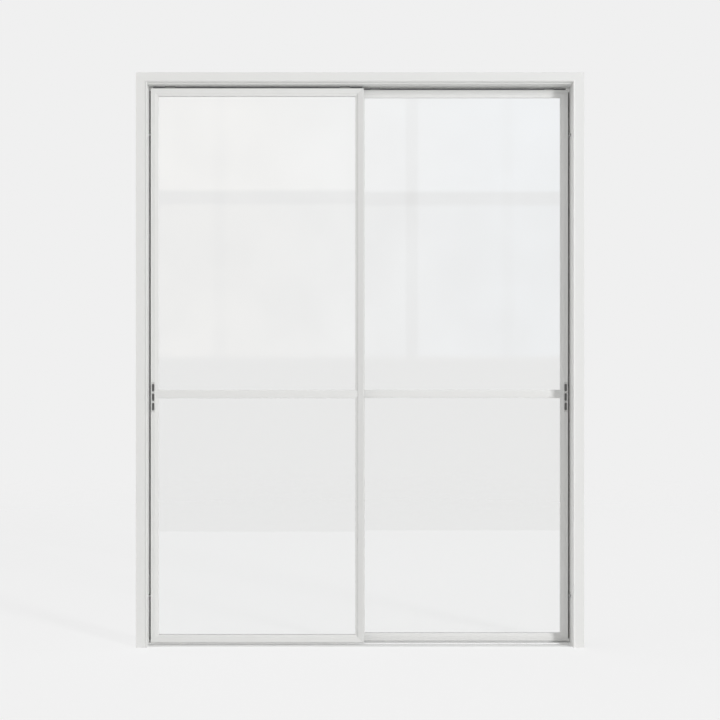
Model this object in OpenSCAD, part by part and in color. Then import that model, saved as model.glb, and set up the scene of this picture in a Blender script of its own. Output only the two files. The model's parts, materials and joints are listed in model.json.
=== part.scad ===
// A pair of bypass sliding glazed doors in their own frame.
// X runs along the doorway, Y away from the viewer, Z up.
// The origin is at the middle of the footprint, on the floor.

/* [Frame] */
// Overall width across the casing
frame_w = 1636; // [1300:1:2200]
// Overall height
frame_h = 2100; // [1900:1:2500]
// Overall depth, from the casing's bead to the back of the jambs
frame_d = 116; // [112:1:150]
// Thickness of the jamb and head boxes
jamb_t = 26; // [24:0.5:36]
// Wall of the jamb and head extrusions
frame_wall = 2; // [1.5:0.1:3]
// Diameter of the fixing holes through the jambs
fixing_dia = 6; // [4:0.5:8]
// Distance of the fixing holes from the jamb's back
fixing_back = 18; // [10:1:24]
// Distance of the end fixing holes from the floor and from the frame's top
fixing_end = 300; // [200:10:400]
// Number of fixing holes in a jamb
fixing_count = 4; // [2:1:6]

/* [Casing] */
// Face width of the casing at the sides
casing_side_w = 40; // [34:0.5:60]
// Face width of the casing at the head
casing_head_w = 34.5; // [32:0.5:50]
// Depth of the casing, bead included
casing_t = 12; // [10:0.5:16]
// Height of the raised bead above the casing's face
bead_rise = 3; // [1:0.5:4]
// Width of the bead's sloping flank on the side casing
bead_w = 8; // [5:0.5:12]
// Width of the bead's flat crest
bead_crest_w = 1.5; // [1:0.1:2.5]
// Wall of the hollow casing
casing_wall = 2; // [1.5:0.1:2.5]

/* [Head guides and sill] */
// Height by which the head reaches down past the casing's edge
head_drop = 5.5; // [0:0.5:8]
// Width of each guide channel in the head
guide_w = 12; // [11:0.5:16]
// Depth of each guide channel
guide_depth = 17.5; // [14:0.5:19]
// Thickness of the sill plate
sill_t = 2.5; // [2:0.1:3]
// Distance of the sill's front edge behind the bead
sill_front_d = 20; // [14:1:30]
// Run of the ramp at the sill's front edge
sill_ramp = 6; // [3:0.5:10]
// Width of each running rib, which has a round top
rib_w = 4; // [3:0.1:4.2]
// Height of the ribs above the floor
rib_h = 7; // [6:0.1:8]
// Diameter of the screw holes in the sill
sill_hole_dia = 5; // [4:0.5:6]
// Distance of the outer sill holes from the sill's ends
sill_hole_end = 128; // [60:1:200]
// Distance between the inner pair of sill holes
sill_inner_pitch = 500; // [200:10:800]

/* [Leaves] */
// Depth of the front leaf's middle behind the bead
front_leaf_d = 54; // [52:0.5:58]
// Distance between the middles of the two leaves
leaf_pitch = 28; // [28:0.5:36]
// Thickness of a leaf
leaf_t = 20; // [19:0.5:20]
// Gap between a leaf's outer edge and its jamb
side_gap = 7; // [6:0.5:10]
// Height of a leaf above the floor
floor_gap = 9; // [8.5:0.1:11]
// Gap between a leaf's top and the head
top_gap = 9; // [7:0.5:12]
// Overlap of the two closed leaves
leaf_overlap = 28; // [26:1:40]
// Face width of the leaf's stiles and rails
section_w = 28; // [27:0.5:36]
// Extra face width of the meeting stile
meeting_extra = 3; // [2:0.5:8]
// Width of the flat land next to the leaf's outer edge
land_w = 18; // [17.5:0.5:20]
// Height of the step from the land down to the bevel
land_step = 2; // [1:0.1:2.4]
// Thickness of the section at its inner edge
lip_t = 12; // [11.5:0.5:14]
// Radius of the section's outer corners
edge_r = 1.5; // [1:0.1:2]
// Width of the fine groove along the land
groove_w = 1; // [0.6:0.1:1.5]
// Depth of that groove
groove_depth = 0.6; // [0.3:0.1:0.9]
// Distance of that groove from the outer edge
groove_at = 10; // [9.2:0.1:10.8]
// Wall of the leaf's extrusions
leaf_wall = 2; // [1.6:0.1:2.2]
// Thickness of the wall behind the glazing pocket
pocket_floor_t = 3; // [2.6:0.1:3.4]

/* [Mid rail] */
// Height of the mid rail's middle above the floor
mid_rail_z = 924; // [800:1:1100]
// Face height of the mid rail
mid_rail_h = 30; // [28:0.5:40]
// Thickness of the mid rail
mid_rail_t = 16; // [14:0.5:16]
// Height of the mid rail's flat face
mid_land_h = 16; // [12:0.5:18]

/* [Glazing] */
// Thickness of the glass
glass_t = 5; // [4:0.5:6]
// Width of the glazing pocket
pocket_w = 9; // [8:0.5:9.5]
// Depth of the glazing pocket
pocket_depth = 9; // [8:0.5:9.5]
// Depth of glass held in the pocket
glass_bite = 7; // [5:0.5:7.5]
// Height of the gasket's lip past the section's inner edge
gasket_lip = 0.5; // [0.2:0.1:1]

/* [Pile strips] */
// Width of a pile groove in the leaf's edge
pile_groove_w = 3.4; // [3:0.1:3.8]
// Depth of a pile groove
pile_groove_depth = 2.2; // [1.8:0.1:2.4]
// Distance of the pile grooves from the leaf's middle
pile_at = 7; // [6.8:0.1:7.2]
// Clearance of a pile strip in its groove, and of its tips at the frame
pile_clear = 0.3; // [0.2:0.1:0.5]
// Length left bare at each end of a pile strip
pile_end = 6; // [4:1:20]
// Width of the pile strip between the leaves
meeting_pile_w = 2; // [1.5:0.1:2.4]
// Height of the carrier that holds it
carrier_h = 3.8; // [3:0.1:3.8]
// Thickness of the carrier's two legs
carrier_leg = 0.8; // [0.6:0.1:1]
// Distance of the carrier from the meeting edge
carrier_at = 10; // [9:0.5:12]
// Height of that pile strip above the leaf's face
meeting_pile_h = 6; // [4.5:0.1:6.2]

/* [Rollers and shoes] */
// Distance of a roller from the leaf's edge
roller_inset = 110; // [80:1:200]
// Outer diameter of a roller wheel
wheel_dia = 16; // [15:0.1:16.4]
// Depth of the running groove in the wheel
wheel_groove = 1.5; // [1.2:0.1:1.8]
// Width of the wheel
wheel_w = 7.6; // [7:0.1:7.8]
// Diameter of the axle
axle_dia = 4; // [3:0.1:5]
// Running clearance of the wheel on its axle, on the radius
axle_clear = 0.06; // [0.03:0.01:0.1]
// Clearance between the wheel's groove and the rib
rib_clear = 0.3; // [0.2:0.05:0.4]
// Length of a roller housing
housing_l = 44; // [42:1:60]
// Thickness of the housing's cheeks
cheek_t = 2.3; // [2:0.1:2.4]
// Thickness of the housing's top
housing_top_t = 1.6; // [1.2:0.1:1.8]
// Width of the open channel in the bottom rail
channel_w = 14; // [13.8:0.1:15]
// Clearance of the inner pieces in their chambers
inner_clear = 0.3; // [0.2:0.1:0.5]
// Diameter of the housing screws
screw_dia = 3; // [2.5:0.1:3.5]
// Diameter of their heads
screw_head_dia = 5.6; // [5:0.1:6]
// Height of their heads
screw_head_h = 1.8; // [1.2:0.1:2]
// Distance of a housing screw from the axle
screw_at = 15; // [14:0.5:17]
// Length of housing screw held in the rail
screw_grip = 2; // [1.5:0.1:2.4]
// Distance of a guide shoe from the leaf's edge
shoe_inset = 70; // [50:1:150]
// Length of a guide shoe
shoe_l = 36; // [24:1:60]
// Clearance of a shoe in its guide channel, each side
shoe_clear = 0.5; // [0.3:0.1:0.8]
// Width of the shoe's stem
shoe_stem_w = 9; // [7:0.5:10]
// Height that the shoe reaches up into the channel
shoe_reach = 12; // [8:0.5:13]
// Height inside the channel at which the shoe widens
shoe_step = 1; // [0.5:0.1:3]
// Diameter of the shoe's two pegs
peg_dia = 5; // [4:0.5:6]
// Clearance of pins and pegs in their holes, on the radius
peg_clear = 0.05; // [0.02:0.01:0.1]

/* [Pulls] */
// Height of the pull's middle above the floor
pull_z = 913; // [860:1:1000]
// Distance of the pull's middle from the leaf's edge
pull_at = 9.2; // [9:0.1:9.4]
// Width of the pull's core
core_w = 12; // [11:0.1:12]
// Height by which the plate laps over each end of the core
core_lap = 3; // [1.5:0.5:5]
// Width of the finger slots
slot_w = 9; // [6:0.1:9.2]
// Number of finger slots on each face
slot_count = 3; // [2:1:4]
// Height of the bridges between the slots
slot_bridge = 7; // [5:0.5:9]
// Height of plate left above and below the slots
plate_end = 7; // [6:0.5:10]
// Thickness of the web between the front and back slots
core_web = 4; // [3:0.5:6]
// Width of the slotted plate
plate_w = 14; // [13.5:0.1:14.4]
// Height of the slotted plate
plate_h = 112; // [90:1:140]
// Thickness of the slotted plate
plate_t = 1.2; // [0.8:0.1:1.3]
// Radius of the plate's corners
plate_r = 3; // [1:0.5:5]
// Clearance of the core in the stile
core_clear = 0.2; // [0.1:0.05:0.3]

/* [Buffers and frame screws] */
// Diameter of a buffer
buffer_dia = 10; // [8:0.5:10.5]
// Clearance between a buffer and the leaf that it stops
buffer_clear = 0.5; // [0.3:0.1:1]
// Diameter of the buffer's stem in the jamb
stem_dia = 5; // [4:0.5:6]
// Distance of the buffers from the leaf's bottom and top
buffer_end = 171; // [100:1:400]
// Diameter of the screws that hold the head on the jambs
frame_screw_dia = 4.2; // [3.5:0.1:5]
// Diameter of their heads
frame_screw_head_dia = 8; // [7:0.5:8.5]
// Height of their heads
frame_screw_head_h = 2.4; // [2:0.1:3]
// Length of screw held in a jamb
frame_screw_grip = 30; // [20:1:60]
// Outer diameter of the screw ports in the jambs
port_dia = 7.6; // [7.4:0.1:9]
// Distance between the two screw ports in a jamb
port_pitch = 10; // [9.5:0.5:11]

/* [Corner keys] */
// Length of a key's arms from the leaf's corner
key_arm = 60; // [40:1:70]

/* [Hidden] */
$fn = 48;
// Spare length that carries a cut past the face that it opens
past = 1;

paint = [0.87, 0.87, 0.86];
silver = [0.74, 0.75, 0.76];
steel = [0.62, 0.63, 0.65];
clear_glass = [0.80, 0.87, 0.88, 0.35];
pale_rubber = [0.88, 0.88, 0.87];
grey_rubber = [0.45, 0.45, 0.45];
dark_pile = [0.22, 0.22, 0.23];
grey_plastic = [0.50, 0.50, 0.50];
grey_paint = [0.74, 0.74, 0.73];
white_nylon = [0.90, 0.90, 0.88];

opening_w = frame_w - 2 * casing_side_w;
opening_h = frame_h - casing_head_w;
head_under = opening_h - head_drop;
head_top = head_under + jamb_t;
front_y = front_leaf_d - frame_d / 2;
rear_y = front_y + leaf_pitch;
track_depths = [front_leaf_d, front_leaf_d + leaf_pitch];
mid_depth = front_leaf_d + leaf_pitch / 2;
port_depths = [mid_depth - port_pitch / 2, mid_depth + port_pitch / 2];
fixing_depth = frame_d - fixing_back;
fixing_pitch = (frame_h - 2 * fixing_end) / (fixing_count - 1);
fixing_heights = [for (i = [0:fixing_count - 1]) fixing_end + i * fixing_pitch];
sill_hole_xs = [opening_w / 2 - sill_hole_end, sill_inner_pitch / 2];

leaf_x0 = side_gap - opening_w / 2;
leaf_x1 = leaf_overlap / 2;
leaf_z0 = floor_gap;
leaf_z1 = head_under - top_gap;
buffer_heights = [leaf_z0 + buffer_end, leaf_z1 - buffer_end];
half_t = leaf_t / 2;
ledge_half = half_t - land_step;
meeting_w = section_w + meeting_extra;
sight_x0 = leaf_x0 + section_w;
sight_x1 = leaf_x1 - meeting_w;
sight_z0 = leaf_z0 + section_w;
sight_z1 = leaf_z1 - section_w;
mid_half = mid_rail_h / 2;

chamber_w0 = pile_groove_depth + leaf_wall;
chamber_w1 = section_w - pocket_depth - pocket_floor_t;
key_half_t = channel_w / 2 - inner_clear;

wheel_r = wheel_dia / 2;
running_r = wheel_r - wheel_groove;
axle_z = rib_h + rib_clear + running_r;
roller_xs = [leaf_x0 + roller_inset, leaf_x1 - roller_inset];
housing_top = leaf_z0 + chamber_w1 - inner_clear;
housing_half_w = channel_w / 2 - inner_clear;
housing_bottom = axle_z - axle_dia;
shoe_xs = [leaf_x0 + shoe_inset, leaf_x1 - shoe_inset];
shoe_head_w = guide_w - 2 * shoe_clear;
pull_x = leaf_x0 + pull_at;
core_h = plate_h - 2 * core_lap;
slot_h = (plate_h - 2 * plate_end - (slot_count - 1) * slot_bridge) / slot_count;
slot_pitch = slot_h + slot_bridge;
slot_zs = [for (i = [0:slot_count - 1]) pull_z + (i - (slot_count - 1) / 2) * slot_pitch];

// Placing: frame sections are drawn in (outward, depth), leaf sections in (inward, across)

// Stands a section on the floor at the right-hand jamb
module at_right_jamb() {
    translate([opening_w / 2, -frame_d / 2, 0]) children();
}

// The same at the left-hand jamb
module at_left_jamb() {
    mirror([1, 0, 0]) at_right_jamb() children();
}

// Lays a section along X at a height over the opening, its outward side up
module at_head(height) {
    translate([0, -frame_d / 2, height]) rotate([0, -90, 0]) children();
}

// The front leaf, closed at the left
module left_leaf() {
    translate([0, front_y, 0]) children();
}

// The rear leaf is the same leaf turned half round
module right_leaf() {
    translate([0, rear_y, 0]) rotate([0, 0, 180]) children();
}

// An outline in (x, z) carried through the whole depth
module through_depth(depth) {
    rotate([90, 0, 0]) linear_extrude(depth, center = true) children();
}

// A hole or pin along X
module along_x(length, dia) {
    rotate([0, 90, 0]) cylinder(h = length, d = dia, center = true);
}

// The same along Y
module along_y(length, dia) {
    rotate([90, 0, 0]) cylinder(h = length, d = dia, center = true);
}

// A box from its low and high corners
module box_between(low, high) {
    translate(low) cube(high - low);
}

// Frame sections

// Hollow box with two ported webs, for the jambs
module jamb_section() {
    difference() {
        translate([0, casing_t]) square([jamb_t, frame_d - casing_t]);
        difference() {
            translate([frame_wall, casing_t + frame_wall])
                square([jamb_t - 2 * frame_wall, frame_d - casing_t - 2 * frame_wall]);
            for (depth = port_depths) {
                translate([0, depth - frame_wall / 2]) square([jamb_t, frame_wall]);
                translate([jamb_t / 2, depth]) circle(d = port_dia);
            }
        }
        for (depth = port_depths)
            translate([jamb_t / 2, depth]) circle(d = frame_screw_dia + 2 * peg_clear);
    }
}

// Hollow box with two guide channels that open downwards, for the head
module head_section() {
    guide_block = guide_w + 2 * frame_wall;
    difference() {
        translate([0, casing_t]) square([jamb_t, frame_d - casing_t]);
        difference() {
            translate([frame_wall, casing_t + frame_wall])
                square([jamb_t - 2 * frame_wall, frame_d - casing_t - 2 * frame_wall]);
            for (depth = track_depths)
                translate([0, depth - guide_block / 2]) square([guide_depth + frame_wall, guide_block]);
        }
        for (depth = track_depths)
            translate([-past, depth - guide_w / 2]) square([guide_depth + past, guide_w]);
    }
}

// Hollow strip with a bead that slopes up to the opening's edge
module casing_section(face_w, flank_w) {
    difference() {
        polygon([
            [0, bead_crest_w], [bead_crest_w, 0], [flank_w, bead_rise],
            [face_w, bead_rise], [face_w, casing_t], [0, casing_t],
        ]);
        translate([casing_wall, bead_rise + casing_wall])
            square([face_w - 2 * casing_wall, casing_t - bead_rise - 2 * casing_wall]);
    }
}

module jamb_holes() {
    for (height = fixing_heights)
        translate([jamb_t / 2, fixing_depth, height]) along_x(jamb_t + 2 * past, fixing_dia);
    for (height = buffer_heights, depth = track_depths)
        translate([0, depth, height]) along_x(2 * frame_wall + past, stem_dia + 2 * peg_clear);
}

module jamb() {
    color(paint) difference() {
        linear_extrude(head_under) jamb_section();
        jamb_holes();
    }
}

module head_box() {
    color(paint) difference() {
        at_head(head_under) linear_extrude(opening_w + 2 * jamb_t, center = true) head_section();
        for (side = [-1, 1], depth = port_depths)
            translate([side * (opening_w + jamb_t) / 2, depth - frame_d / 2, head_under - past])
                cylinder(h = jamb_t + 2 * past, d = frame_screw_dia + 2 * peg_clear);
    }
}

// Right-hand strip, cut on the line from the opening's corner to the outer corner
module side_casing() {
    color(paint) intersection() {
        linear_extrude(frame_h) casing_section(casing_side_w, bead_w);
        translate([0, casing_t / 2, 0]) through_depth(casing_t + 2 * past)
            polygon([[0, 0], [casing_side_w, 0], [casing_side_w, frame_h], [0, opening_h]]);
    }
}

module head_casing() {
    color(paint) intersection() {
        at_head(opening_h) linear_extrude(frame_w, center = true)
            casing_section(casing_head_w, bead_w * casing_head_w / casing_side_w);
        translate([0, (casing_t - frame_d) / 2, 0]) through_depth(casing_t + 2 * past)
            polygon([
                [-opening_w / 2, opening_h], [opening_w / 2, opening_h],
                [frame_w / 2, frame_h], [-frame_w / 2, frame_h],
            ]);
    }
}

// Plate with a ramped front edge and a round-topped rib under each leaf
module sill_section() {
    polygon([
        [0, sill_front_d], [sill_t, sill_front_d + sill_ramp], [sill_t, frame_d], [0, frame_d],
    ]);
    for (depth = track_depths) {
        translate([sill_t, depth - rib_w / 2]) square([rib_h - sill_t - rib_w / 2, rib_w]);
        translate([rib_h - rib_w / 2, depth]) circle(d = rib_w);
    }
}

module sill_track() {
    color(silver) difference() {
        translate([0, -frame_d / 2, 0]) rotate([0, -90, 0])
            linear_extrude(opening_w, center = true) sill_section();
        for (x = sill_hole_xs, side = [-1, 1])
            translate([side * x, mid_depth - frame_d / 2, -past])
                cylinder(h = sill_t + 2 * past, d = sill_hole_dia);
    }
}

// Rubber stops, each with a stem in the jamb's wall
module buffers() {
    reach = side_gap - buffer_clear;
    color(grey_rubber) for (height = buffer_heights, depth = track_depths)
        translate([0, depth, height]) {
            translate([-reach / 2, 0, 0]) along_x(reach, buffer_dia);
            translate([frame_wall / 2, 0, 0]) along_x(frame_wall, stem_dia);
        }
}

module frame_screws() {
    color(steel) for (side = [-1, 1], depth = port_depths)
        translate([side * (opening_w + jamb_t) / 2, depth - frame_d / 2, head_top]) {
            cylinder(h = frame_screw_head_h, d = frame_screw_head_dia);
            translate([0, 0, -jamb_t - frame_screw_grip])
                cylinder(h = jamb_t + frame_screw_grip, d = frame_screw_dia);
        }
}

// Leaf sections

// Outside of a stile or rail: a flat land with round corners, a step, then a bevel down to the glass.
// The meeting stile also has a slotted carrier for the pile, on the face towards the other leaf.
module leaf_outline(extra, with_carrier = false) {
    slot_half = meeting_pile_w / 2 + pile_clear;
    carrier_half = slot_half + carrier_leg;
    carrier_top = half_t + carrier_h;
    carrier = with_carrier ? [
        [carrier_at - carrier_half, half_t], [carrier_at - carrier_half, carrier_top],
        [carrier_at + carrier_half, carrier_top], [carrier_at + carrier_half, half_t],
    ] : [];
    difference() {
        polygon(concat([[0, half_t]], carrier, [
            [extra + land_w, half_t], [extra + land_w, ledge_half],
            [extra + section_w, lip_t / 2], [extra + section_w, -lip_t / 2],
            [extra + land_w, -ledge_half], [extra + land_w, -half_t], [0, -half_t],
        ]));
        for (side = [-1, 1]) translate([0, side * half_t]) difference() {
            square(2 * edge_r, center = true);
            translate([edge_r, -side * edge_r]) circle(r = edge_r);
        }
        if (with_carrier)
            translate([carrier_at - slot_half, half_t]) square([2 * slot_half, carrier_h + past]);
    }
}

// The outside with its glazing pocket
module leaf_blank(extra, with_carrier = false) {
    difference() {
        leaf_outline(extra, with_carrier);
        translate([extra + section_w - pocket_depth, -pocket_w / 2]) square([pocket_depth + past, pocket_w]);
    }
}

module land_grooves() {
    for (side = [-1, 1])
        translate([groove_at, side * half_t]) square([groove_w, 2 * groove_depth], center = true);
}

// Stile or top rail: a closed chamber, and a pile groove near each face so that it serves both leaves
module edge_section(extra = 0, with_carrier = false) {
    difference() {
        leaf_blank(extra, with_carrier);
        land_grooves();
        translate([chamber_w0, leaf_wall - half_t])
            square([extra + chamber_w1 - chamber_w0, leaf_t - 2 * leaf_wall]);
        for (side = [-1, 1])
            translate([-past, side * pile_at - pile_groove_w / 2])
                square([pile_groove_depth + past, pile_groove_w]);
    }
}

// Bottom rail: a channel that opens downwards and takes the rollers
module bottom_section() {
    difference() {
        leaf_blank(0);
        land_grooves();
        translate([-past, -channel_w / 2]) square([chamber_w1 + past, channel_w]);
    }
}

// Mid rail: a hollow bar with bevelled edges and a glazing pocket above and below
module mid_section() {
    half_land = mid_land_h / 2;
    half_mid_t = mid_rail_t / 2;
    core_half = mid_half - pocket_depth;
    difference() {
        polygon([
            [-mid_half, -lip_t / 2], [-half_land, -half_mid_t],
            [half_land, -half_mid_t], [mid_half, -lip_t / 2],
            [mid_half, lip_t / 2], [half_land, half_mid_t],
            [-half_land, half_mid_t], [-mid_half, lip_t / 2],
        ]);
        for (side = [0, 180])
            rotate(side) translate([core_half, -pocket_w / 2]) square([pocket_depth + past, pocket_w]);
        square([2 * (core_half - leaf_wall), mid_rail_t - 2 * leaf_wall], center = true);
    }
}

// Leaf pieces, drawn for the left leaf with its middle plane at y = 0

// Lays a leaf section along the leaf's bottom edge
module along_bottom() {
    translate([(leaf_x0 + leaf_x1) / 2, 0, leaf_z0]) rotate([0, -90, 0])
        linear_extrude(leaf_x1 - leaf_x0, center = true) children();
}

// The same along the top edge, the other way up
module along_top() {
    translate([0, 0, leaf_z0 + leaf_z1]) mirror([0, 0, 1]) along_bottom() children();
}

// Outline of the bottom rail between its mitres
module bottom_mitre() {
    through_depth(2 * leaf_t) polygon([
        [leaf_x0, leaf_z0], [leaf_x1 - meeting_extra, leaf_z0],
        [sight_x1, sight_z0], [sight_x0, sight_z0],
    ]);
}

module outer_stile_bar() {
    intersection() {
        translate([leaf_x0, 0, leaf_z0]) linear_extrude(leaf_z1 - leaf_z0) edge_section();
        through_depth(2 * leaf_t) polygon([
            [leaf_x0, leaf_z0], [sight_x0, sight_z0], [sight_x0, sight_z1], [leaf_x0, leaf_z1],
        ]);
    }
}

// The pull's window leaves the stile's edge and its glazing pocket whole
module outer_stile() {
    window = [core_w + 2 * core_clear, 2 * leaf_t, core_h + 2 * core_clear];
    color(paint) difference() {
        outer_stile_bar();
        translate([pull_x, 0, pull_z]) cube(window, center = true);
    }
}

module meeting_stile() {
    color(paint) intersection() {
        translate([leaf_x1, 0, leaf_z0]) mirror([1, 0, 0]) linear_extrude(leaf_z1 - leaf_z0)
            edge_section(meeting_extra, with_carrier = true);
        through_depth(2 * leaf_t) polygon([
            [leaf_x1, leaf_z0], [leaf_x1 - meeting_extra, leaf_z0], [sight_x1, sight_z0],
            [sight_x1, sight_z1], [leaf_x1 - meeting_extra, leaf_z1], [leaf_x1, leaf_z1],
        ]);
    }
}

module top_rail() {
    color(paint) difference() {
        intersection() {
            along_top() edge_section();
            translate([0, 0, leaf_z0 + leaf_z1]) mirror([0, 0, 1]) bottom_mitre();
        }
        for (x = shoe_xs, side = [-1, 1])
            translate([x + side * shoe_l / 4, 0, leaf_z1 - chamber_w0 - past])
                cylinder(h = chamber_w0 + 2 * past, d = peg_dia + 2 * peg_clear);
    }
}

module bottom_rail() {
    color(paint) difference() {
        intersection() {
            along_bottom() bottom_section();
            bottom_mitre();
        }
        for (x = roller_xs, side = [-1, 1])
            translate([x + side * screw_at, 0, leaf_z0 + chamber_w1 - past])
                cylinder(h = past + screw_grip + peg_clear, d = screw_dia + 2 * peg_clear);
    }
}

// Coped over the stiles' bevels up to the step, with a tenon in each glazing pocket
module mid_rail() {
    tenon = pocket_depth - inner_clear;
    length = sight_x1 - sight_x0 + 2 * tenon;
    color(paint) difference() {
        translate([(sight_x0 + sight_x1) / 2, 0, mid_rail_z]) rotate([0, -90, 0])
            linear_extrude(length, center = true) mid_section();
        translate([0, 0, mid_rail_z - mid_rail_h]) linear_extrude(2 * mid_rail_h) {
            translate([leaf_x0, 0]) leaf_blank(0);
            translate([leaf_x1, 0]) mirror([1, 0]) leaf_blank(meeting_extra);
        }
    }
}

// A pane reaches past the sight lines by the glass's bite
module pane(z_low, z_high) {
    color(clear_glass) box_between(
        [sight_x0 - glass_bite, -glass_t / 2, z_low - glass_bite],
        [sight_x1 + glass_bite, glass_t / 2, z_high + glass_bite]
    );
}

// U-shaped rubber that fills the pocket round the edge of a pane
module gasket(z_low, z_high) {
    color(pale_rubber) difference() {
        box_between(
            [sight_x0 - pocket_depth, -pocket_w / 2, z_low - pocket_depth],
            [sight_x1 + pocket_depth, pocket_w / 2, z_high + pocket_depth]
        );
        box_between(
            [sight_x0 + gasket_lip, -pocket_w, z_low + gasket_lip],
            [sight_x1 - gasket_lip, pocket_w, z_high - gasket_lip]
        );
        pane(z_low, z_high);
    }
}

module upper_pane() {
    pane(mid_rail_z + mid_half, sight_z1);
}

module lower_pane() {
    pane(sight_z0, mid_rail_z - mid_half);
}

module upper_gasket() {
    gasket(mid_rail_z + mid_half, sight_z1);
}

module lower_gasket() {
    gasket(sight_z0, mid_rail_z - mid_half);
}

// A strip along the leaf's top, up to just under the head; back is the side that faces away from the viewer
module top_pile(back) {
    strip_w = pile_groove_w - 2 * pile_clear;
    color(dark_pile) box_between(
        [leaf_x0 + pile_end, back * pile_at - strip_w / 2, leaf_z1 - pile_groove_depth],
        [leaf_x1 - pile_end, back * pile_at + strip_w / 2, head_under - pile_clear]
    );
}

// A strip along the leaf's outer edge, up to just off the jamb, on the same side
module edge_pile(back) {
    strip_w = pile_groove_w - 2 * pile_clear;
    color(dark_pile) box_between(
        [leaf_x0 - side_gap + pile_clear, back * pile_at - strip_w / 2, leaf_z0 + pile_end],
        [leaf_x0 + pile_groove_depth, back * pile_at + strip_w / 2, leaf_z1 - pile_end]
    );
}

module meeting_pile() {
    color(dark_pile) box_between(
        [leaf_x1 - carrier_at - meeting_pile_w / 2, half_t, leaf_z0 + pile_end],
        [leaf_x1 - carrier_at + meeting_pile_w / 2, half_t + meeting_pile_h, leaf_z1 - pile_end]
    );
}

// One L-shaped key in the chambers at a corner, its arms towards +x and +z
module corner_key() {
    near = chamber_w0 + inner_clear;
    far = chamber_w1 - inner_clear;
    through_depth(2 * key_half_t) polygon([
        [near, near], [key_arm, near], [key_arm, far], [far, far], [far, key_arm], [near, key_arm],
    ]);
}

module corner_keys() {
    color(silver) for (top = [0, 1]) {
        translate([leaf_x0, 0, top ? leaf_z1 : leaf_z0]) mirror([0, 0, top]) corner_key();
        translate([leaf_x1 - meeting_extra, 0, top ? leaf_z1 : leaf_z0])
            mirror([0, 0, top]) mirror([1, 0, 0]) corner_key();
    }
}

// A stem that widens inside the head's channel, on two pegs in the rail
module guide_shoes() {
    stem_top = head_under + shoe_step;
    color(grey_plastic) for (x = shoe_xs) {
        translate([x - shoe_l / 2, -shoe_stem_w / 2, leaf_z1])
            cube([shoe_l, shoe_stem_w, stem_top - leaf_z1]);
        translate([x - shoe_l / 2, -shoe_head_w / 2, stem_top])
            cube([shoe_l, shoe_head_w, shoe_reach - shoe_step]);
        for (side = [-1, 1])
            translate([x + side * shoe_l / 4, 0, leaf_z1 - chamber_w0])
                cylinder(h = chamber_w0, d = peg_dia);
    }
}

// Bent plates with two cheeks, drilled for the axle and the fixing screws
module roller_housings() {
    color(steel) for (x = roller_xs) difference() {
        box_between(
            [x - housing_l / 2, -housing_half_w, housing_bottom],
            [x + housing_l / 2, housing_half_w, housing_top]
        );
        box_between(
            [x - housing_l, cheek_t - housing_half_w, housing_bottom - past],
            [x + housing_l, housing_half_w - cheek_t, housing_top - housing_top_t]
        );
        translate([x, 0, axle_z]) along_y(channel_w, axle_dia + 2 * peg_clear);
        for (side = [-1, 1])
            translate([x + side * screw_at, 0, housing_top - channel_w / 2])
                cylinder(h = channel_w, d = screw_dia + 2 * peg_clear);
    }
}

module roller_screws() {
    color(steel) for (x = roller_xs, side = [-1, 1])
        translate([x + side * screw_at, 0, housing_top - housing_top_t]) {
            translate([0, 0, -screw_head_h]) cylinder(h = screw_head_h, d = screw_head_dia);
            cylinder(h = housing_top_t + inner_clear + screw_grip, d = screw_dia);
        }
}

module axles() {
    color(steel) for (x = roller_xs)
        translate([x, 0, axle_z]) along_y(2 * housing_half_w, axle_dia);
}

// A wheel whose hollow rim runs on the sill's round rib
module roller_wheel(x) {
    hollow_r = rib_w / 2 + rib_clear;
    color(white_nylon) translate([x, 0, axle_z]) rotate([90, 0, 0]) difference() {
        cylinder(h = wheel_w, r = wheel_r, center = true);
        cylinder(h = 2 * wheel_w, d = axle_dia + 2 * axle_clear, center = true);
        rotate_extrude() translate([running_r + hollow_r, 0]) circle(r = hollow_r);
    }
}

module outer_wheel() {
    roller_wheel(roller_xs[0]);
}

module meeting_wheel() {
    roller_wheel(roller_xs[1]);
}

// A round-ended slot in (x, z)
module slot_outline() {
    square([slot_w, slot_h - slot_w], center = true);
    for (side = [-1, 1])
        translate([0, side * (slot_h - slot_w) / 2]) circle(d = slot_w);
}

module pull_core() {
    slot_depth = (leaf_t - core_web) / 2;
    color(grey_plastic) difference() {
        translate([pull_x, 0, pull_z]) cube([core_w, leaf_t, core_h], center = true);
        for (z = slot_zs, side = [-1, 1])
            translate([pull_x, side * (half_t - slot_depth / 2 + past / 2), z])
                through_depth(slot_depth + past) slot_outline();
    }
}

module plate_outline() {
    square([plate_w, plate_h - 2 * plate_r], center = true);
    square([plate_w - 2 * plate_r, plate_h], center = true);
    for (x = [-1, 1], z = [-1, 1])
        translate([x * (plate_w / 2 - plate_r), z * (plate_h / 2 - plate_r)]) circle(r = plate_r);
}

// A slotted plate on one face of the stile
module pull_plate(side) {
    color(grey_paint) translate([pull_x, side * (half_t + plate_t / 2), pull_z]) through_depth(plate_t)
        difference() {
            plate_outline();
            for (z = slot_zs) translate([0, z - pull_z]) slot_outline();
        }
}

at_left_jamb() jamb();  // left_jamb
at_right_jamb() jamb();  // right_jamb
head_box();
at_left_jamb() side_casing();  // left_casing
at_right_jamb() side_casing();  // right_casing
head_casing();
sill_track();
at_left_jamb() buffers();  // left_buffers
at_right_jamb() buffers();  // right_buffers
frame_screws();

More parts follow.
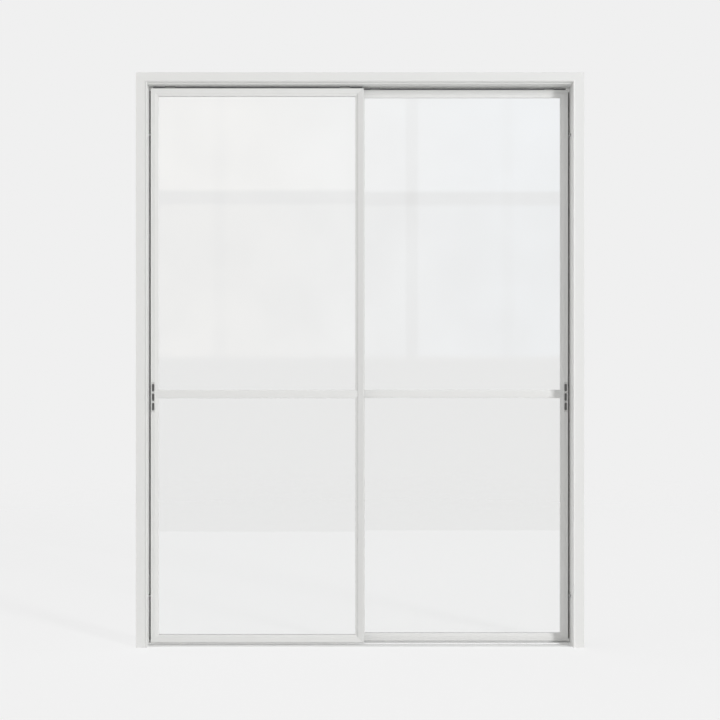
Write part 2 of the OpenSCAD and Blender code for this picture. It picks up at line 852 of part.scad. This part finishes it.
left_leaf() outer_stile();  // left_outer_stile
left_leaf() meeting_stile();  // left_meeting_stile
left_leaf() top_rail();  // left_top_rail
left_leaf() bottom_rail();  // left_bottom_rail
left_leaf() mid_rail();  // left_mid_rail
left_leaf() upper_pane();  // left_upper_pane
left_leaf() lower_pane();  // left_lower_pane
left_leaf() upper_gasket();  // left_upper_gasket
left_leaf() lower_gasket();  // left_lower_gasket
left_leaf() top_pile(1);  // left_top_pile
left_leaf() edge_pile(1);  // left_edge_pile
left_leaf() meeting_pile();  // left_meeting_pile
left_leaf() corner_keys();  // left_corner_keys
left_leaf() guide_shoes();  // left_guide_shoes
left_leaf() roller_housings();  // left_roller_housings
left_leaf() roller_screws();  // left_roller_screws
left_leaf() axles();  // left_axles
left_leaf() outer_wheel();  // left_outer_wheel
left_leaf() meeting_wheel();  // left_meeting_wheel
left_leaf() pull_core();  // left_pull_core
left_leaf() pull_plate(-1);  // left_pull_front_plate
left_leaf() pull_plate(1);  // left_pull_back_plate

right_leaf() outer_stile();  // right_outer_stile
right_leaf() meeting_stile();  // right_meeting_stile
right_leaf() top_rail();  // right_top_rail
right_leaf() bottom_rail();  // right_bottom_rail
right_leaf() mid_rail();  // right_mid_rail
right_leaf() upper_pane();  // right_upper_pane
right_leaf() lower_pane();  // right_lower_pane
right_leaf() upper_gasket();  // right_upper_gasket
right_leaf() lower_gasket();  // right_lower_gasket
right_leaf() top_pile(-1);  // right_top_pile
right_leaf() edge_pile(-1);  // right_edge_pile
right_leaf() meeting_pile();  // right_meeting_pile
right_leaf() corner_keys();  // right_corner_keys
right_leaf() guide_shoes();  // right_guide_shoes
right_leaf() roller_housings();  // right_roller_housings
right_leaf() roller_screws();  // right_roller_screws
right_leaf() axles();  // right_axles
right_leaf() outer_wheel();  // right_outer_wheel
right_leaf() meeting_wheel();  // right_meeting_wheel
right_leaf() pull_core();  // right_pull_core
right_leaf() pull_plate(1);  // right_pull_front_plate
right_leaf() pull_plate(-1);  // right_pull_back_plate
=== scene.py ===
"""Looks for a pair of sliding glazed doors in their frame.

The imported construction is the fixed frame. This script gives each surface its finish, puts brush strips
and cross-head screws where the construction has plain stand-ins, and sets up the studio and the camera.
"""

import json

import bpy
import numpy as np
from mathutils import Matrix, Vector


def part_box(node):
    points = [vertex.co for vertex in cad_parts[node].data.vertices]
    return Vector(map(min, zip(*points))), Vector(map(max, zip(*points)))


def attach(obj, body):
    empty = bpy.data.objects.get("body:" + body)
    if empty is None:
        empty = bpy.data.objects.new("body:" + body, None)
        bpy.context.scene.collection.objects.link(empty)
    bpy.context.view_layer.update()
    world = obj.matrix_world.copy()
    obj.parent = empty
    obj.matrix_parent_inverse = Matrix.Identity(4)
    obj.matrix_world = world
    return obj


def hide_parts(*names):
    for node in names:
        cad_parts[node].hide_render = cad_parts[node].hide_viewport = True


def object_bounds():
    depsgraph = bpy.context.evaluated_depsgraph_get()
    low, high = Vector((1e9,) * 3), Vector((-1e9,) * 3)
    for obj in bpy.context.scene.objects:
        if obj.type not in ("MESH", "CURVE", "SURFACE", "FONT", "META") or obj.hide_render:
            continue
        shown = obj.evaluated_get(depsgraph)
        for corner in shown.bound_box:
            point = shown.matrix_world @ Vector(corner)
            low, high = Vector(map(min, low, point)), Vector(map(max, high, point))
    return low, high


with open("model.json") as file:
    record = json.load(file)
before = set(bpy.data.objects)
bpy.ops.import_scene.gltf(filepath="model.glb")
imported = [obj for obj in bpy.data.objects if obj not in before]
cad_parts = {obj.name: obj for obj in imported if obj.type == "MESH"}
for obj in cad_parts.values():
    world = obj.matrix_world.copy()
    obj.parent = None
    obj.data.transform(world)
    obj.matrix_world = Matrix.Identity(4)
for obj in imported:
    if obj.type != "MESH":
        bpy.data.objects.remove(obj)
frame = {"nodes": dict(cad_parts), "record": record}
cad_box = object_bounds()

MM = 0.001
X_AXIS, Y_AXIS, Z_AXIS = np.eye(3)
WHITE = (1, 1, 1, 1)

# Finishes: the darkest and the palest shade of each
WHITE_SHADES = ((0.762, 0.762, 0.748, 1), (0.790, 0.790, 0.778, 1))
# Meeting stiles: a greyer copy of the white coat. It is painted shade that stands in for the shade on their
# inward bevels.
MEETING_STILE_PAINTED_SHADE_TONES = ((0.693, 0.693, 0.681, 1), (0.720, 0.720, 0.708, 1))
PLATE_SHADES = ((0.620, 0.620, 0.608, 1), (0.660, 0.660, 0.648, 1))
ALUMINIUM_SHADES = ((0.79, 0.79, 0.785, 1), (0.85, 0.85, 0.845, 1))
GASKET_SHADES = ((0.91, 0.91, 0.90, 1), (0.95, 0.95, 0.94, 1))
BUFFER_SHADES = ((0.33, 0.33, 0.33, 1), (0.40, 0.40, 0.40, 1))
FIBRE_SHADES = ((0.20, 0.20, 0.202, 1), (0.30, 0.30, 0.302, 1))
MOULDING_SHADES = ((0.295, 0.295, 0.291, 1), (0.345, 0.345, 0.341, 1))
NYLON_SHADES = ((0.74, 0.73, 0.69, 1), (0.82, 0.81, 0.77, 1))
STEEL_SHADES = ((0.56, 0.57, 0.58, 1), (0.70, 0.71, 0.72, 1))

# Panes: what they let through, what they mirror, and the haze as a thin film
PANE_TINT = (0.988, 0.990, 0.989, 1)
PANE_MIRROR_ROUGHNESS = 0.015
PANE_SQUARE_ON_SHARE = 0.04
PANE_SLANT_POWER = 5
PANE_FILM = (0.86, 0.87, 0.87, 1)
PANE_HAZE = (0.004, 0.014)

# Brush strips: the fin's levels are shares of the height, its widths are shares of the strip's width
TUFT_PITCH = 1.6 * MM
STATIONS_PER_TUFT = 2
TUFT_SEED = 7
TUFT_SWELL = 0.16
TIP_RAGGEDNESS = 0.10
TAPE_THICKNESS = 0.8 * MM
FIN_FOOT_STEP = 0.02
FIN_LEVELS = (0.50, 0.80, 1.0)
FIN_WIDTHS = (0.72, 0.60, 0.42, 0.20)

# Screws on the frame's head: the rim and the span of the top are shares of the screw head's radius
SCREW_SHANK_R = 2.1 * MM
SCREW_HEAD_R = 4.0 * MM
SCREW_HEAD_H = 2.4 * MM
SCREW_RIM = 0.35
SCREW_RIM_RINGS = 7
SCREW_TOP_SPAN = (0.62, 0.02)
SCREW_TOP_RINGS = 18
SCREW_ANGLES = 64
RECESS_REACH = 2.3 * MM
RECESS_HALF_W = 0.55 * MM
RECESS_DEPTH = 1.4 * MM
RECESS_SLOPE = 0.25 * MM

# Studio, in metres and in the light that a white surface would send back
BACKGROUND = (0.871, 0.871, 0.871, 1)
AMBIENT_HORIZON = 0.10
AMBIENT_ZENITH = 0.48
AMBIENT_EDGE = (0.0, 1.0)
AMBIENT_FILL = 1.0
FILL_EDGE = (0.2, 0.9)
KEY_TURN = np.radians(43)
KEY_RISE = np.radians(12)
KEY_DISTANCE = 20.0
KEY_WIDTH = 3.0
KEY_HEIGHT = 7.0
KEY_LEVEL = 0.567
FLOOR_SIZE = 24
FLOOR_SHADE = (0.88, 0.88, 0.88, 1)
FLOOR_GLOW = (0.985, 0.985, 0.985, 1)
FLOOR_BOUNCE = 0.12
FLOOR_DIFFUSE_SHARE = 0.28
FLOOR_FADE = (3.0, 7.0)

# Card in front of the doors, which only mirrors see: its levels go from the floor up, with an edge between
# each two, and each upright bar has its middle and how much glow it takes away
CARD_Y = -3.0
CARD_HALF_WIDTH = 4.0
CARD_TOP = 5.0
CARD_LEVELS = (0.32, 0.92, 0.45, 1.30)
CARD_EDGES = ((1.03, 1.10), (1.985, 2.02), (2.07, 2.105))
CARD_BARS = ((-0.86, 0.18), (0.32, 0.45), (0.91, 0.18))
CARD_BAR_WIDTH = 0.05
CARD_CLOUD_SCALE = 2.6
CARD_CLOUD_DETAIL = 4.0
CARD_CLOUD_DEPTH = 1.1
CARD_CLOUD_MEAN = 0.5
CARD_TINT_EDGE = (-1.0, 1.2)
CARD_WARM = (1.02, 0.96, 0.86, 1)
CARD_COOL = (0.84, 0.96, 1.10, 1)

# Camera, placed as the photograph was taken
CAMERA_DISTANCE = 4.5
CAMERA_HEIGHT = 1.05
CAMERA_LENS = 61.7


class Wire:
    """A shader socket with arithmetic: an expression on wires adds its Math nodes."""

    def __init__(self, tree, socket=None):
        self.tree = tree
        self.socket = socket

    def node(self, kind, settings, inputs, output=0):
        """Adds a node of that type, applies its settings, then fills its sockets with values or links."""
        made = self.tree.nodes.new("ShaderNode" + kind)
        for name, value in settings.items():
            setattr(made, name, value)
        for name, value in inputs.items():
            if isinstance(value, Wire):
                self.tree.links.new(value.socket, made.inputs[name])
            else:
                made.inputs[name].default_value = value
        return Wire(self.tree, made.outputs[output] if made.outputs else None)

    def math(self, operation, first, second):
        return self.node("Math", {"operation": operation}, {0: first, 1: second})

    def __add__(self, other):
        return self.math("ADD", self, other)

    __radd__ = __add__

    def __sub__(self, other):
        return self.math("SUBTRACT", self, other)

    def __rsub__(self, other):
        return self.math("SUBTRACT", other, self)

    def __mul__(self, other):
        return self.math("MULTIPLY", self, other)

    __rmul__ = __mul__

    def __pow__(self, other):
        return self.math("POWER", self, other)


# Shader shorthands


def noise(wire, place, scale, detail=2.0):
    return wire.node("TexNoise", {}, {"Vector": place, "Scale": scale, "Detail": detail})


def coordinate(wire, place, axis):
    return wire.node("SeparateXYZ", {}, {"Vector": place}, axis)


def spread(factor, low, high):
    """A number that goes from low to high with the factor."""
    return low + (high - low) * factor


def between(wire, factor, low, high):
    """A colour that goes from low to high with the factor."""
    return wire.node("Mix", {"data_type": "RGBA"}, {0: factor, 6: low, 7: high}, 2)


def ramp(wire, value, low, high):
    """0 below low, 1 above high, and a smooth step between them."""
    return wire.node("MapRange", {"interpolation_type": "SMOOTHSTEP"}, {"Value": value, 1: low, 2: high})


def bumped(wire, height, strength, distance):
    return wire.node("Bump", {}, {"Strength": strength, "Distance": distance, "Height": height})


def any_ray(wire, *kinds):
    """1 for a ray of any of these kinds, 0 for others."""
    flags = [wire.node("LightPath", {}, {}, kind) for kind in kinds]
    found = flags[0]
    for flag in flags[1:]:
        found = wire.math("MAXIMUM", found, flag)
    return found


def new_finish(name):
    """An empty material, the start of its wires and its Object coordinates."""
    material = bpy.data.materials.new(name)
    material.use_nodes = True
    material.node_tree.nodes.clear()
    start = Wire(material.node_tree)
    return material, start, start.node("TexCoord", {}, {}, "Object")


def show(start, shader):
    start.node("OutputMaterial", {}, {"Surface": shader})


# Finishes


def powder_coat(name, shades):
    """Satin paint: faint clouding, a fine orange peel and an uneven gloss."""
    material, start, place = new_finish(name)
    cloud = noise(start, place, scale=2.5, detail=3.0)
    peel = noise(start, place, scale=650.0, detail=1.0)
    gloss = noise(start, place, scale=30.0)
    show(start, start.node("BsdfPrincipled", {}, {
        "Base Color": between(start, cloud, *shades), "Roughness": spread(gloss, low=0.36, high=0.46),
        "Specular IOR Level": 0.2, "Normal": bumped(start, peel, strength=0.06, distance=0.2 * MM),
    }))
    return material


def clear_pane():
    """Float glass: it lets most light through, has the thinnest haze, and mirrors more as it is seen aslant.

    The mirrored share is lowest square on and rises to 1 with a power of the slant, on both faces alike.
    """
    material, start, place = new_finish("clear_pane")
    through = start.node("BsdfTransparent", {}, {"Color": PANE_TINT})
    mirror = start.node("BsdfGlossy", {}, {"Color": WHITE, "Roughness": PANE_MIRROR_ROUGHNESS})
    film = start.node("BsdfPrincipled", {}, {"Base Color": PANE_FILM, "Roughness": 0.5})
    slant = start.node("LayerWeight", {}, {"Blend": 0.5}, "Facing")
    share = spread(slant ** PANE_SLANT_POWER, PANE_SQUARE_ON_SHARE, 1.0)
    glass = start.node("MixShader", {}, {0: share, 1: through, 2: mirror})
    haze = spread(noise(start, place, scale=3.0, detail=4.0), *PANE_HAZE)
    show(start, start.node("MixShader", {}, {0: haze, 1: glass, 2: film}))
    return material


def grey_moulding():
    """Grey moulded plastic: faint clouding and a fine spark-eroded grain."""
    material, start, place = new_finish("grey_moulding")
    cloud = noise(start, place, scale=60.0)
    grain = noise(start, place, scale=1600.0)
    show(start, start.node("BsdfPrincipled", {}, {
        "Base Color": between(start, cloud, *MOULDING_SHADES),
        "Roughness": spread(grain, low=0.48, high=0.62),
        "Normal": bumped(start, grain, strength=0.18, distance=0.1 * MM),
    }))
    return material


def grained(name, shades, roughness, scale, detail, strength, distance, stretch=None, metallic=0.0,
            sheen=0.0):
    """A finish that one noise drives: its shade, its roughness and its fine bumps.

    The stretch scales the noise differently along each axis, so that it becomes streaks.
    """
    material, start, place = new_finish(name)
    if stretch:
        place = start.node("Mapping", {}, {"Vector": place, "Scale": stretch})
    grain = noise(start, place, scale, detail)
    show(start, start.node("BsdfPrincipled", {}, {
        "Base Color": between(start, grain, *shades), "Roughness": spread(grain, *roughness),
        "Metallic": metallic, "Sheen Weight": sheen, "Normal": bumped(start, grain, strength, distance),
    }))
    return material


def pale_anodised():
    """Pale, matt anodised aluminium, drawn along X."""
    return grained(
        "pale_anodised", ALUMINIUM_SHADES, roughness=(0.50, 0.64), scale=1.0, detail=3.0,
        strength=0.08, distance=0.1 * MM, stretch=(2.0, 900.0, 900.0), metallic=0.15)


def rubber(name, shades):
    """Rubber with a dull, slightly grained skin."""
    return grained(
        name, shades, roughness=(0.62, 0.74), scale=900.0, detail=2.0, strength=0.12, distance=0.15 * MM)


def brush_fibre():
    """Grey polypropylene pile: streaks between the fibres and a soft sheen."""
    return grained(
        "brush_fibre", FIBRE_SHADES, roughness=(0.80, 0.92), scale=1400.0, detail=2.0,
        strength=0.4, distance=0.3 * MM, sheen=0.25)


def white_nylon():
    """Natural nylon: milky, a little waxy, with faint mould flow."""
    return grained(
        "white_nylon", NYLON_SHADES, roughness=(0.40, 0.52), scale=180.0, detail=3.0,
        strength=0.08, distance=0.2 * MM)


def zinc_steel():
    """Zinc-plated steel with a fine spangle."""
    return grained(
        "zinc_steel", STEEL_SHADES, roughness=(0.26, 0.42), scale=420.0, detail=3.0,
        strength=0.06, distance=0.1 * MM, metallic=1.0)


FINISHES = {
    "white_paint": powder_coat("white_coat", WHITE_SHADES),
    "grey_paint": powder_coat("grey_coat", PLATE_SHADES),
    "bare_aluminium": pale_anodised(),
    "clear_glass": clear_pane(),
    "pale_rubber": rubber("pale_rubber", GASKET_SHADES),
    "grey_rubber": rubber("grey_rubber", BUFFER_SHADES),
    "dark_pile": brush_fibre(),
    "grey_plastic": grey_moulding(),
    "white_nylon": white_nylon(),
    "steel": zinc_steel(),
}
# Painted shade: the meeting stiles get this greyer coat in place of the shade that their inward bevels take.
PAINTED_SHADE_MEETING_STILE_COAT = powder_coat("meeting_stile_painted_shade_coat", MEETING_STILE_PAINTED_SHADE_TONES)
SLOTS = {part["node"]: part["material_slot"] for part in frame["record"]["subparts"]}
BODIES = {node: body for body, nodes in frame["record"]["behaviour"]["bodies"].items() for node in nodes}


def dress(obj, finish):
    obj.data.materials.clear()
    obj.data.materials.append(finish)


# The meeting stiles take the greyer coat of painted shade. Every other node takes its slot's finish.
for node_name, node_object in frame["nodes"].items():
    is_meeting_stile = node_name.endswith("meeting_stile")
    dress(node_object, PAINTED_SHADE_MEETING_STILE_COAT if is_meeting_stile else FINISHES[SLOTS[node_name]])


# Surfaces worked out on grids


def strip_faces(rows, columns):
    """Faces of a closed strip: quads between neighbouring rows, then a cap on each end.

    The quads also join the last column to the first.
    """
    row = np.arange(rows - 1)[:, None] * columns
    column = np.arange(columns)
    right = (column + 1) % columns
    corners = [row + column, row + right, row + columns + right, row + columns + column]
    quads = np.stack(corners, axis=-1).reshape(-1, 4)
    return [*quads, column[::-1], column + (rows - 1) * columns]


def add_piece(name, points, faces, smooth=True):
    mesh = bpy.data.meshes.new(name)
    mesh.from_pydata(points.reshape(-1, 3).tolist(), [], [list(map(int, face)) for face in faces])
    mesh.polygons.foreach_set("use_smooth", np.full(len(mesh.polygons), smooth))
    mesh.update()
    piece = bpy.data.objects.new(name, mesh)
    bpy.context.scene.collection.objects.link(piece)
    return piece


def brush_grid(length, width, height):
    """A brush strip, as points (along, across, up) on a grid of stations by profile points.

    The profile goes up one side and down the other: a flat tape at the bottom, then a fin that narrows in
    straight steps, faster towards its tip. The fin's width swells and thins once per tuft, as a cosine, and
    its height is lowered at each station by a random share, so that the edge is ragged like cut pile.
    """
    stations = int(length / TUFT_PITCH * STATIONS_PER_TUFT) + 1
    station = np.arange(stations)[:, None]
    ragged = np.random.default_rng(TUFT_SEED).random(stations)[:, None]
    tape = TAPE_THICKNESS / height
    rise = np.array([0.0, tape, tape + FIN_FOOT_STEP, *FIN_LEVELS])
    half = np.array([1.0, 1.0, *FIN_WIDTHS]) * width / 2
    side = np.concatenate([-half, half[::-1]])
    level = np.concatenate([rise, rise[::-1]])
    in_fin = level > tape
    swell = 1 + TUFT_SWELL * np.cos(2 * np.pi * station / STATIONS_PER_TUFT) * in_fin
    lowered = 1 - TIP_RAGGEDNESS * ragged * in_fin
    along = np.broadcast_to(np.linspace(0, length, stations)[:, None], swell.shape)
    return np.stack([along, side * swell, level * lowered * height], axis=-1)


def add_brush(node, along, tip):
    """A brush strip that fills a node's box, along one axis and with its tips along another."""
    low, high = (np.array(corner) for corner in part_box(node))
    across = np.cross(along, tip)
    length, width, height = (np.abs(axis) @ (high - low) for axis in (along, across, tip))
    start = (low + high - along * length - tip * height) / 2
    grid = brush_grid(length, width, height)
    points = start + grid @ np.array([along, across, tip])
    faces = strip_faces(*grid.shape[:2])
    piece = add_piece(node.replace("pile", "brush"), points, faces, smooth=False)
    dress(piece, FINISHES["dark_pile"])
    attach(piece, BODIES[node])
    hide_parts(node)


for side, outward in (("left", -1), ("right", 1)):
    add_brush(f"{side}_top_pile", X_AXIS, Z_AXIS)
    add_brush(f"{side}_edge_pile", Z_AXIS, outward * X_AXIS)
    add_brush(f"{side}_meeting_pile", Z_AXIS, -outward * Y_AXIS)


def screw_grid(length):
    """A cross-recessed screw upright on its axis, its head's underside at 0, as points on rings by angles.

    Radius and height go up the shank, out under the head, up its rounded rim and in over its top. There the
    height drops by the recess's depth inside two crossed arms, with an even slope along each arm's edge.
    """
    rim = np.linspace(0, np.pi / 2, SCREW_RIM_RINGS)
    top = np.linspace(*SCREW_TOP_SPAN, SCREW_TOP_RINGS)
    radius = np.concatenate([
        [SCREW_SHANK_R, SCREW_SHANK_R], SCREW_HEAD_R * (1 - SCREW_RIM + SCREW_RIM * np.cos(rim)),
        SCREW_HEAD_R * top])
    height = np.concatenate([
        [-length, 0], SCREW_HEAD_H * np.sin(rim), np.full(SCREW_TOP_RINGS, SCREW_HEAD_H)])
    angle = np.linspace(0, 2 * np.pi, SCREW_ANGLES, endpoint=False)
    x = radius[:, None] * np.cos(angle)
    y = radius[:, None] * np.sin(angle)

    def inside(reach, offset):
        return np.clip((reach - np.abs(offset)) / RECESS_SLOPE, 0, 1)

    arm_x = inside(RECESS_REACH, x) * inside(RECESS_HALF_W, y)
    arm_y = inside(RECESS_REACH, y) * inside(RECESS_HALF_W, x)
    on_top = np.arange(radius.size)[:, None] >= radius.size - SCREW_TOP_RINGS
    z = height[:, None] - RECESS_DEPTH * np.maximum(arm_x, arm_y) * on_top
    return np.stack([x, y, z], axis=-1)


def add_frame_screws():
    """The four screws at the corners of their node's box, with their heads on top of the frame's head."""
    low, high = (np.array(corner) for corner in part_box("frame_screws"))
    grid = screw_grid(high[2] - low[2] - SCREW_HEAD_H)
    faces = strip_faces(*grid.shape[:2])
    screws = []
    all_faces = []
    for x in (low[0] + SCREW_HEAD_R, high[0] - SCREW_HEAD_R):
        for y in (low[1] + SCREW_HEAD_R, high[1] - SCREW_HEAD_R):
            first = len(screws) * grid[..., 0].size
            all_faces += [face + first for face in faces]
            screws.append(grid + np.array([x, y, high[2] - SCREW_HEAD_H]))
    piece = add_piece("cross_head_screws", np.array(screws), all_faces)
    dress(piece, FINISHES["steel"])
    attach(piece, BODIES["frame_screws"])
    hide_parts("frame_screws")


add_frame_screws()


# Studio


def add_world():
    """Rays from the camera, mirrors and glass meet the plain background; other rays meet a soft sky.

    The sky's level rises smoothly with height, and towards the left, where it is the fill light.
    """
    world = bpy.data.worlds.new("studio")
    bpy.context.scene.world = world
    world.use_nodes = True
    world.node_tree.nodes.clear()
    start = Wire(world.node_tree)
    direction = start.node("TexCoord", {}, {}, "Generated")
    height = coordinate(start, direction, "Z")
    leftward = -1 * coordinate(start, direction, "X")
    ambient = spread(ramp(start, height, *AMBIENT_EDGE), AMBIENT_HORIZON, AMBIENT_ZENITH)
    ambient = ambient + AMBIENT_FILL * ramp(start, leftward, *FILL_EDGE)
    plain = any_ray(start, "Is Camera Ray", "Is Glossy Ray", "Is Transmission Ray")
    sky = start.node("Background", {}, {"Color": WHITE, "Strength": ambient})
    backdrop = start.node("Background", {}, {"Color": BACKGROUND, "Strength": 1.0})
    mixed = start.node("MixShader", {}, {0: plain, 1: sky, 2: backdrop})
    start.node("OutputWorld", {}, {"Surface": mixed})


def add_floor():
    """Pale floor: it takes a soft shadow near the doors and fades into the background further off.

    So it is for the camera and for mirrors. For other rays it is a lit floor with a little glow of its own.
    """
    half = FLOOR_SIZE / 2
    corners = np.array([[-half, -half, 0], [half, -half, 0], [half, half, 0], [-half, half, 0]])
    floor = add_piece("floor", corners, [[0, 1, 2, 3]])
    material, start, place = new_finish("pale_floor")
    distance = start.node("VectorMath", {"operation": "LENGTH"}, {0: place}, "Value")
    seen = any_ray(start, "Is Camera Ray", "Is Glossy Ray")
    lit = start.node("BsdfDiffuse", {}, {"Color": FLOOR_SHADE})
    bounce = start.node("Emission", {}, {"Color": WHITE, "Strength": FLOOR_BOUNCE})
    lighting = start.node("AddShader", {}, {0: lit, 1: bounce})
    glow = start.node("Emission", {}, {"Color": FLOOR_GLOW, "Strength": 1.0})
    pale = start.node("MixShader", {}, {0: FLOOR_DIFFUSE_SHARE, 1: glow, 2: lit})
    soft = start.node("MixShader", {}, {0: seen, 1: lighting, 2: pale})
    gone = start.node("BsdfTransparent", {}, {})
    far = seen * ramp(start, distance, *FLOOR_FADE)
    show(start, start.node("MixShader", {}, {0: far, 1: soft, 2: gone}))
    dress(floor, material)


def add_mirrored_card():
    """A card that only mirrors see, so that the panes show their gloss.

    Its glow goes up in soft steps: a dim wall, a window, the window's cross bar and the sky above it. Upright
    bars take some of the window's glow away, clouds make it uneven, and its colour goes from warm at the left
    to cool at the right.
    """
    corners = np.array([
        [-CARD_HALF_WIDTH, CARD_Y, 0], [CARD_HALF_WIDTH, CARD_Y, 0],
        [CARD_HALF_WIDTH, CARD_Y, CARD_TOP], [-CARD_HALF_WIDTH, CARD_Y, CARD_TOP],
    ])
    card = add_piece("mirrored_card", corners, [[0, 1, 2, 3]])
    material, start, place = new_finish("mirrored_card")
    across = coordinate(start, place, "X")
    height = coordinate(start, place, "Z")
    level = CARD_LEVELS[0]
    for below, above, edge in zip(CARD_LEVELS, CARD_LEVELS[1:], CARD_EDGES):
        level = level + (above - below) * ramp(start, height, *edge)
    in_window = ramp(start, height, *CARD_EDGES[0])
    clouds = noise(start, place, CARD_CLOUD_SCALE, CARD_CLOUD_DETAIL) - CARD_CLOUD_MEAN
    level = level + CARD_CLOUD_DEPTH * in_window * clouds
    for middle, depth in CARD_BARS:
        past_left = ramp(start, across, middle - CARD_BAR_WIDTH, middle - CARD_BAR_WIDTH / 2)
        past_right = ramp(start, across, middle + CARD_BAR_WIDTH / 2, middle + CARD_BAR_WIDTH)
        level = level - depth * in_window * (past_left - past_right)
    coolness = in_window * ramp(start, across, *CARD_TINT_EDGE)
    tint = between(start, coolness, CARD_WARM, CARD_COOL)
    colour = start.node("VectorMath", {"operation": "SCALE"}, {0: tint, "Scale": level})
    show(start, start.node("Emission", {}, {"Color": colour, "Strength": 1.0}))
    dress(card, material)
    card.visible_camera = False
    card.visible_diffuse = False
    card.visible_shadow = False
    card.visible_transmission = False


def add_key_light():
    """Soft low light from the front right; its power gives KEY_LEVEL on a white surface that faces it."""
    aim = np.array([0.0, 0.0, CAMERA_HEIGHT])
    out = np.array([
        np.sin(KEY_TURN) * np.cos(KEY_RISE), -np.cos(KEY_TURN) * np.cos(KEY_RISE), np.sin(KEY_RISE)])
    lamp = bpy.data.lights.new("key", "AREA")
    lamp.shape = "RECTANGLE"
    lamp.size = KEY_WIDTH
    lamp.size_y = KEY_HEIGHT
    lamp.energy = np.pi ** 2 * KEY_LEVEL * KEY_DISTANCE ** 2
    key = bpy.data.objects.new("key", lamp)
    bpy.context.scene.collection.objects.link(key)
    key.location = aim + out * KEY_DISTANCE
    key.rotation_euler = (np.pi / 2 - KEY_RISE, 0, KEY_TURN)


def add_camera():
    lens = bpy.data.cameras.new("camera")
    lens.lens = CAMERA_LENS
    camera = bpy.data.objects.new("camera", lens)
    bpy.context.scene.collection.objects.link(camera)
    camera.location = (0, cad_box[0].y - CAMERA_DISTANCE, CAMERA_HEIGHT)
    camera.rotation_euler = (np.pi / 2, 0, 0)
    bpy.context.scene.camera = camera


add_world()
add_floor()
add_mirrored_card()
add_key_light()
add_camera()
bpy.context.scene.view_settings.view_transform = "Standard"
